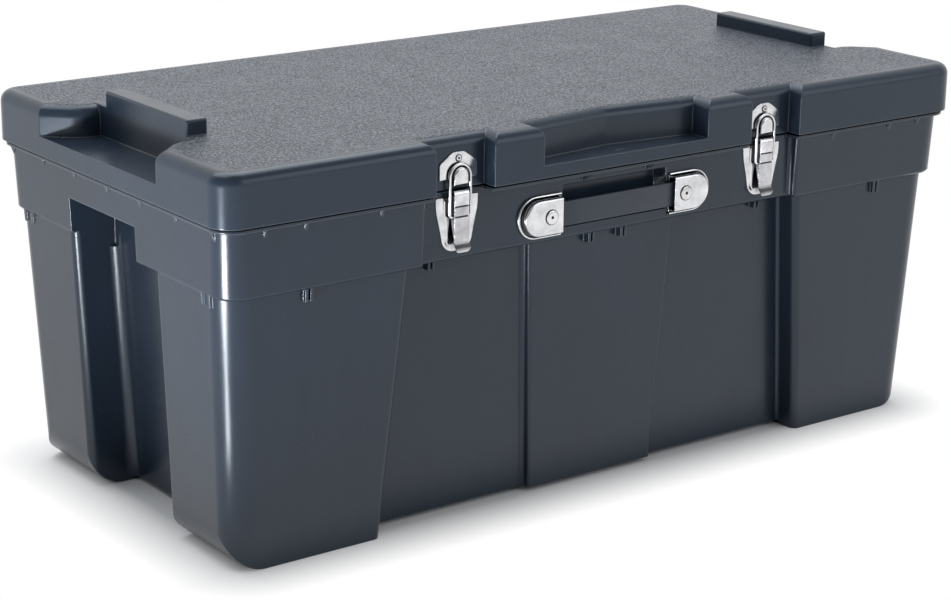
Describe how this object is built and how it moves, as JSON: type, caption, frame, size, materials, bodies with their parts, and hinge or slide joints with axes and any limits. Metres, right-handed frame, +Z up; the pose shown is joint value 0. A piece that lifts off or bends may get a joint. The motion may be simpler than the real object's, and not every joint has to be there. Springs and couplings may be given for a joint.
{
  "type": "storage trunk",
  "caption": "Moulded plastic storage trunk with corner feet, a pebble-grained hinged lid with raised end bars, draw latches and a strap carrying handle.",
  "frame": {"origin": "on the floor under the middle of the tub", "axes": "+X along the trunk to the right as seen from the front, -Y to the front where the latches are, +Z up"},
  "size_m": [0.94, 0.476, 0.416],
  "materials": {
    "shell": "satin moulded polyethylene, pebble grain on the lid's top",
    "nickel": "bright nickel plate on pressed steel",
    "pin_steel": "turned steel",
    "spring_steel": "blued spring steel",
    "grip": "satin vinyl"
  },
  "bodies": {
    "tub": {"tub": "shell", "hinge_pin_left": "pin_steel", "hinge_pin_centre": "pin_steel", "hinge_pin_right": "pin_steel", "latch_base_left": "nickel", "latch_rivets_left": "pin_steel", "lever_pin_left": "pin_steel", "handle_plate_left": "nickel", "handle_cap_left": "nickel", "handle_screw_left": "pin_steel", "handle_nut_left": "pin_steel", "latch_base_right": "nickel", "latch_rivets_right": "pin_steel", "lever_pin_right": "pin_steel", "handle_plate_right": "nickel", "handle_cap_right": "nickel", "handle_screw_right": "pin_steel", "handle_nut_right": "pin_steel"},
    "lid": {"lid": "shell", "keeper_left": "nickel", "keeper_rivet_left": "pin_steel", "keeper_right": "nickel", "keeper_rivet_right": "pin_steel"},
    "handle": {"handle_strap": "spring_steel", "handle_grip": "grip"},
    "latch_lever_left": {"latch_lever_left": "nickel"},
    "latch_bail_left": {"latch_bail_left": "nickel"},
    "latch_lever_right": {"latch_lever_right": "nickel"},
    "latch_bail_right": {"latch_bail_right": "nickel"}
  },
  "joints": [
    {"name": "lid_hinge", "type": "hinge", "parent": "tub", "child": "lid", "pos_m": [0, 0.2385, 0.3472], "axis": [-1, 0, 0], "range_deg": [0, 100]},
    {"name": "handle_pull", "type": "slide", "parent": "tub", "child": "handle", "axis": [0, -1, 0], "range_m": [0, 0.002]},
    {"name": "latch_lever_left", "type": "hinge", "parent": "tub", "child": "latch_lever_left", "pos_m": [-0.198, -0.2168, 0.345], "axis": [-1, 0, 0], "range_deg": [0, 110]},
    {"name": "latch_bail_left", "type": "hinge", "parent": "latch_lever_left", "child": "latch_bail_left", "pos_m": [-0.198, -0.2178, 0.321], "axis": [-1, 0, 0], "range_deg": [-160, 0]},
    {"name": "latch_lever_right", "type": "hinge", "parent": "tub", "child": "latch_lever_right", "pos_m": [0.198, -0.2168, 0.345], "axis": [-1, 0, 0], "range_deg": [0, 110]},
    {"name": "latch_bail_right", "type": "hinge", "parent": "latch_lever_right", "child": "latch_bail_right", "pos_m": [0.198, -0.2178, 0.321], "axis": [-1, 0, 0], "range_deg": [-160, 0]}
  ],
  "couplings": [
    {"joint": "latch_bail_left", "follows": "latch_lever_left", "ratio": -1.45},
    {"joint": "latch_bail_right", "follows": "latch_lever_right", "ratio": -1.45}
  ]
}
